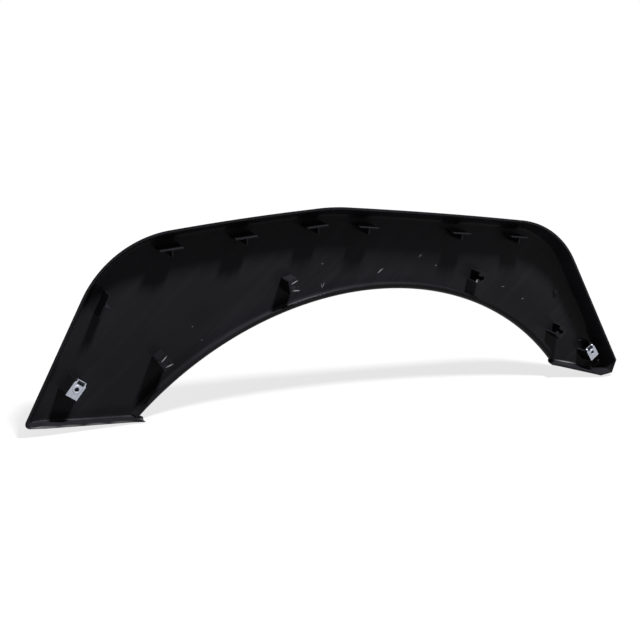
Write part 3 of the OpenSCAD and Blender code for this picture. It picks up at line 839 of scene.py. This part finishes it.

# %% [markdown]
# ## Scuffs and painted highlights
# Handling left pale scuffs on the real moulding. The light that catches the rims and folds of its flanges
# and the plates of its seats is painted the same way, as pale highlights. An image would show them too, but
# it needs a map of the surface. A stroke is a soft ball that is stretched and turned in space, and the
# surface takes its colour from it. A mark with no depth of its own lies on the face.

# %% Scuffs and painted highlights
# Each mark is its start, its stop, its half width and depth in millimetres, and its strength.
# Painted highlights: two pale strokes on the plate of each seat on the broad side, in the seat's own frame.
SEAT_HIGHLIGHTS = [((-3.5, 4.2), (6.0, 6.0)), ((-3.5, -4.2), (6.0, -7.0))]
SCUFFS_AND_HIGHLIGHTS = [
    # The first eleven marks are pale scuffs of wear on the face.
    ((-10.6, 438.6), (-3.8, 444.6), 1.0, None, 0.8),
    ((46.9, 459.0), (49.7, 461.3), 1.5, None, 0.35),
    ((74.3, 446.3), (75.7, 446.8), 1.0, None, 0.4),
    ((-87.1, 422.2), (-84.6, 429.6), 0.6, None, 0.55),
    ((-88.9, 428.6), (-87.2, 422.4), 0.5, None, 0.4),
    ((-92.1, 453.4), (-90.7, 453.6), 1.0, None, 0.3),
    ((-252.7, 383.6), (-251.5, 383.8), 0.8, None, 0.35),
    ((-239.3, 365.9), (-238.1, 366.1), 0.8, None, 0.35),
    ((186.6, 414.0), (191.7, 413.8), 0.7, None, 0.4),
    ((225.4, 395.5), (227.1, 395.4), 1.1, None, 0.4),
    ((340.6, 328.7), (346.4, 328.3), 1.8, None, 0.2),
    # Painted highlights from here on: a glint on a narrow seat's plate, the narrow flange's fold and its root
    # corner, the broad flange's fold, and four strokes along its dipping rim.
    ((128.9, 430.6), (128.1, 427.9), 1.2, CLIP_Y, 0.9),
    ((303.0, 300.6), (366.6, 287.6), 1.2, None, 0.55),
    ((385.6, 294.6), (387.0, 294.6), 1.8, None, 0.6),
    ((-433.4, 285.7), (-396.0, 283.3), 1.0, None, 0.16),
    ((-441.0, 288.8), (-400.0, 285.8), 2.0, 0.0, 0.5),
    ((-412.0, 286.7), (-370.0, 283.6), 2.0, 1.5, 0.45),
    ((-380.0, 284.3), (-345.0, 281.7), 2.0, 4.4, 0.4),
    ((-354.0, 282.4), (-314.0, 279.4), 2.0, 7.3, 0.3),
]
MARK_DEPTH, MARK_SOFT = 3.0, 0.6
# The seat strokes go onto the two seats on the broad side as painted highlights.
for angle in CLIP_ANGLES:
    way = at(angle)
    middle = at(90 + angle) * (ROLL_MID_R + CLIP_RISE)
    for start, stop in SEAT_HIGHLIGHTS:
        ends = [tuple(middle + p[0] * way + p[1] * left(way)) for p in (start, stop)]
        SCUFFS_AND_HIGHLIGHTS.append((ends[0], ends[1], 0.8, CLIP_Y, 0.9))


def mark(tree, coords, start, stop, width, depth, strength):
    """Soft stroke: strength * min((1 - d) / MARK_SOFT, 1), with d the distance in its stretched frame."""
    start, stop = np.array(start), np.array(stop)
    middle = (start + stop) / 2
    if depth is None:
        depth = float(face_y(np.clip(np.linalg.norm(middle) - ROLL_MID_R, 0, SWELL_W)))
    along = np.linalg.norm(stop - start) / 2 + width
    place = (np.array([middle[0], depth, middle[1]]) - THREAD) * MM
    own = node(tree, "ShaderNodeMapping", vector_type="TEXTURE", Location=place.tolist())
    own.inputs["Rotation"].default_value = (0, -math.radians(float(polar(stop - start))), 0)
    own.inputs["Scale"].default_value = (along * MM, MARK_DEPTH * MM, width * MM)
    tree.links.new(coords, own.inputs["Vector"])
    ball = node(tree, "ShaderNodeTexGradient", gradient_type="SPHERICAL")
    tree.links.new(own.outputs[0], ball.inputs[0])
    shade = node(tree, "ShaderNodeMapRange", **{"From Max": MARK_SOFT, "To Max": strength})
    tree.links.new(ball.outputs["Fac"], shade.inputs["Value"])
    return shade.outputs[0]


print("marks:", len(SCUFFS_AND_HIGHLIGHTS))

# %% [markdown]
# ## Black moulded plastic
# Trim plastic is nearly black with a faint violet cast, half glossy, with a very fine grain. Handling
# polished some places and dulled others, so its roughness drifts slowly. A soft diagonal reflection that
# rises from left to right is painted into the colour as a faint lighter sheen. The same look is made twice,
# because the rubbed edges only differ in how strongly they mirror the light.

# %% Black plastic
BLACK_LOW, BLACK_HIGH = (0.0108, 0.0108, 0.0128), (0.0140, 0.0138, 0.0165)
PAINTED_SHEEN_COLOUR, SCUFF_AND_HIGHLIGHT_COLOUR = (0.020, 0.020, 0.0235), (0.36, 0.36, 0.37)
SHEEN_DEG, SHEEN_SCALE = 48, (0.25, 0.25, 0.02)


def black_plastic(name, specular):
    """Mottled black with a painted diagonal sheen, pale scuffs, painted highlights and a fine grain."""
    made, tree, shader = material(name)
    link = tree.links.new
    coords = node(tree, "ShaderNodeTexCoord").outputs["Object"]
    cloud = node(tree, "ShaderNodeTexNoise", Scale=9.0, Detail=4.0, Roughness=0.55)
    link(coords, cloud.inputs["Vector"])
    base = ramp(tree, cloud.outputs[0], [(0.3, BLACK_LOW), (0.7, BLACK_HIGH)])
    # Painted sheen: lighter diagonal streaks in the colour stand in for a soft reflection.
    sheen_frame = node(tree, "ShaderNodeMapping", vector_type="TEXTURE", Scale=SHEEN_SCALE)
    sheen_frame.inputs["Rotation"].default_value = (0, math.radians(-SHEEN_DEG), 0)
    link(coords, sheen_frame.inputs["Vector"])
    sheen_streak = node(tree, "ShaderNodeTexNoise", Scale=1.0, Detail=3.0, Roughness=0.6)
    link(sheen_frame.outputs[0], sheen_streak.inputs["Vector"])
    sheened = mixed(tree, ramp(tree, sheen_streak.outputs[0], [(0.5, 0.0), (0.75, 0.7)]), base, PAINTED_SHEEN_COLOUR)
    total = None
    for start, stop, width, depth, strength in SCUFFS_AND_HIGHLIGHTS:
        one = mark(tree, coords, start, stop, width, depth, strength)
        total = one if total is None else computed(tree, "MAXIMUM", total, one)
    # Scuffs and painted highlights both lighten the colour toward the same pale grey.
    link(mixed(tree, total, sheened, SCUFF_AND_HIGHLIGHT_COLOUR), shader.inputs["Base Color"])
    link(ramp(tree, cloud.outputs[0], [(0.3, 0.26), (0.7, 0.34)]), shader.inputs["Roughness"])
    shader.inputs["Specular IOR Level"].default_value = specular
    grain = node(tree, "ShaderNodeTexNoise", Scale=1400.0, Detail=2.0)
    link(coords, grain.inputs["Vector"])
    bump = node(tree, "ShaderNodeBump", Strength=0.05, Distance=0.0002)
    link(grain.outputs[0], bump.inputs["Height"])
    link(bump.outputs[0], shader.inputs["Normal"])
    return made


trim.data.materials.append(black_plastic("black_plastic", 0.035))
trim.data.materials.append(black_plastic("rubbed_edge", 0.35))
print("plastics:", [m.name for m in trim.data.materials])

# %% [markdown]
# ## Zinc-plated spring steel
# The nuts are bright zinc over spring steel: a cool grey with a blue cast, softly mottled where the plating
# took unevenly. A mirror would look like chrome, so it is rough, and one noise drives its colour, gloss and
# grain.

# %% Zinc
zinc, tree, shader = material("zinc_plating")
link = tree.links.new
coords = node(tree, "ShaderNodeTexCoord").outputs["Object"]
mottle = node(tree, "ShaderNodeTexNoise", Scale=420.0, Detail=5.0, Roughness=0.6)
link(coords, mottle.inputs["Vector"])
link(
    ramp(tree, mottle.outputs[0], [(0.3, (0.30, 0.325, 0.385)), (0.7, (0.47, 0.495, 0.555))]),
    shader.inputs["Base Color"],
)
link(ramp(tree, mottle.outputs[0], [(0.3, 0.34), (0.7, 0.46)]), shader.inputs["Roughness"])
shader.inputs["Metallic"].default_value = 0.85
zinc_bump = node(tree, "ShaderNodeBump", Strength=0.08, Distance=0.0003)
link(mottle.outputs[0], zinc_bump.inputs["Height"])
link(zinc_bump.outputs[0], shader.inputs["Normal"])
for end, ring in rings.items():
    ring.data.materials.append(zinc)
    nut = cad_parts[f"spring_nut_{end}"]
    if not nut.material_slots:
        nut.data.materials.append(zinc)
    for slot in nut.material_slots:
        slot.material = zinc
print("zinc on", sorted(rings), "nuts and rings")

# %% [markdown]
# ## Floor and light
# One lamp hangs near and above the trim, on the viewer's side and right of the middle. A sun's shadows
# would all fall one way, and those of a near lamp fall left at the broad foot and right at the narrow one,
# as they should. A weak pale world fills them. The floor sends little light back, so the plastic stays
# dark. To the camera it adds to the lamp's light just what is missing to white, so only the trim's shadow
# shows on it.

# %% Floor


def seen_rays(tree):
    """1 for rays that show their surroundings: camera, mirror and see-through rays."""
    path = node(tree, "ShaderNodeLightPath")
    seen = computed(tree, "MAXIMUM", path.outputs["Is Camera Ray"], path.outputs["Is Glossy Ray"])
    return computed(tree, "MAXIMUM", seen, path.outputs["Is Transmission Ray"])


KEY_AT = np.array([0.53, -0.52, 1.50])
KEY_POWER, KEY_SIZE = 205.0, 0.10
FLOOR_GREY, BOUNCE_GREY, FLOOR_SIZE = 0.14, 0.12, 80
MIDDLE_X, FLOOR_GAP = 0.39, 0.2 * MM
floor_at = np.array([MIDDLE_X, 0, cad_box[0].z - FLOOR_GAP])
bpy.ops.mesh.primitive_plane_add(size=FLOOR_SIZE, location=floor_at.tolist())
floor = bpy.context.object
floor.name = "floor"
floor_look = bpy.data.materials.new("pale_floor")
floor_look.use_nodes = True
tree = floor_look.node_tree
link = tree.links.new
tree.nodes.remove(tree.nodes["Principled BSDF"])
bounced = node(tree, "ShaderNodeBsdfDiffuse", Color=(BOUNCE_GREY, BOUNCE_GREY, BOUNCE_GREY, 1))
shown = node(tree, "ShaderNodeBsdfDiffuse", Color=(FLOOR_GREY, FLOOR_GREY, FLOOR_GREY, 1))
glow = node(tree, "ShaderNodeEmission", Color=(1, 1, 1, 1))
away = node(tree, "ShaderNodeVectorMath", operation="DISTANCE")
link(node(tree, "ShaderNodeTexCoord").outputs["Object"], away.inputs[0])
away.inputs[1].default_value = (KEY_AT - floor_at).tolist()
# A point lamp's light leaves a grey floor with grey * power * height / (4 pi^2 distance^3).
lamp_height = float((KEY_AT - floor_at)[2])
cube = computed(tree, "POWER", away.outputs["Value"], 3.0)
lit = computed(tree, "DIVIDE", FLOOR_GREY * KEY_POWER * lamp_height / (4 * math.pi**2), cube)
link(computed(tree, "SUBTRACT", 1.0, lit), glow.inputs["Strength"])
both = tree.nodes.new("ShaderNodeAddShader")
link(shown.outputs[0], both.inputs[0])
link(glow.outputs[0], both.inputs[1])
pick = tree.nodes.new("ShaderNodeMixShader")
link(seen_rays(tree), pick.inputs[0])
link(bounced.outputs[0], pick.inputs[1])
link(both.outputs[0], pick.inputs[2])
link(pick.outputs[0], tree.nodes["Material Output"].inputs["Surface"])
floor.data.materials.append(floor_look)
print("floor at z", round(float(floor_at[2]), 4))

# %% World
FILL = 0.2
world = bpy.data.worlds.new("studio")
bpy.context.scene.world = world
world.use_nodes = True
tree = world.node_tree
background = tree.nodes["Background"]
background.inputs["Color"].default_value = (1, 1, 1, 1)
strength = node(tree, "ShaderNodeMapRange", **{"To Min": FILL, "To Max": 1.0})
tree.links.new(seen_rays(tree), strength.inputs["Value"])
tree.links.new(strength.outputs[0], background.inputs["Strength"])
print("world's strength:", FILL, "on the trim, 1 where it is seen")

# %% The lamp
key_data = bpy.data.lights.new("key", "POINT")
key_data.energy = KEY_POWER
key_data.shadow_soft_size = KEY_SIZE
key = bpy.data.objects.new("key", key_data)
bpy.context.scene.collection.objects.link(key)
key.location = KEY_AT.tolist()
print("lamp at", KEY_AT)

# %% [markdown]
# ## The camera
# It looks down on the mating side from the left and is rolled a little, which sets the arch level in the
# picture. Aiming it at a point would lose the roll, so its three directions are worked out from yaw,
# elevation and roll.

# %% The camera
CAMERA_AT = np.array([-662.76, -989.94, 740.14])
YAW, ELEVATION, ROLL, LENS = -29.606, 17.056, 6.0, 56.25
yaw, tilt, roll = (math.radians(k) for k in (YAW, ELEVATION, ROLL))
back = np.array([math.sin(yaw) * math.cos(tilt), -math.cos(yaw) * math.cos(tilt), math.sin(tilt)])
right = np.cross(-back, [0, 0, 1.0])
right /= np.linalg.norm(right)
up = np.cross(back, right)
turned_right = math.cos(roll) * right + math.sin(roll) * up
turned_up = -math.sin(roll) * right + math.cos(roll) * up
camera_data = bpy.data.cameras.new("camera")
camera_data.lens = LENS
camera_data.sensor_width = 36.0
camera = bpy.data.objects.new("camera", camera_data)
bpy.context.scene.collection.objects.link(camera)
turn = Matrix(np.stack([turned_right, turned_up, back], 1).tolist()).to_4x4()
camera.matrix_world = Matrix.Translation(((CAMERA_AT - THREAD) * MM).tolist()) @ turn
bpy.context.scene.camera = camera
bpy.context.scene.view_settings.view_transform = "Standard"
print("camera with a", LENS, "mm lens")

# %% Finish
print("cad box", [tuple(round(v, 4) for v in c) for c in cad_box])
